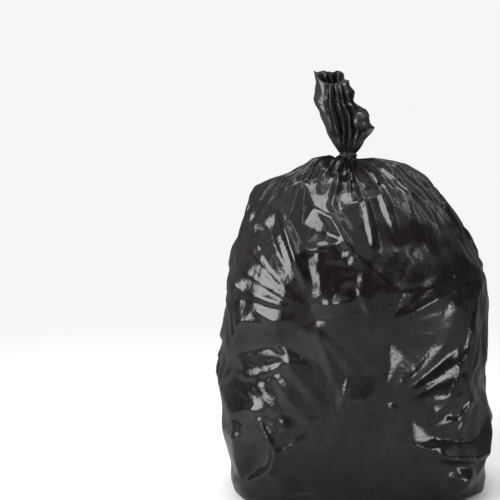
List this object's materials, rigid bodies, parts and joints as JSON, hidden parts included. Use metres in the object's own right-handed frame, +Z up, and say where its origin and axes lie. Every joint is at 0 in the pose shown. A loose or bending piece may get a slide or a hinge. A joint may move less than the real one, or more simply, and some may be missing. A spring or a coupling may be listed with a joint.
{
  "type": "full bin bag",
  "caption": "Full black plastic bin bag standing on its base, gathered at the neck and held by a twist tie, with its open mouth ruffled above the tie.",
  "frame": {"origin": "on the floor, under the middle of the bag's outline", "axes": "+Z up through the bag, +X to the right and +Y to the back as the bag is seen from the front"},
  "size_m": [0.648, 0.536, 1],
  "materials": {
    "bag_film": "thin glossy black polythene film, creased and stretched over the rubbish inside",
    "tie_plastic": "satin black plastic strip over a thin wire"
  },
  "bodies": {
    "root": {"bag": "bag_film", "neck_tie": "tie_plastic"}
  },
  "joints": []
}
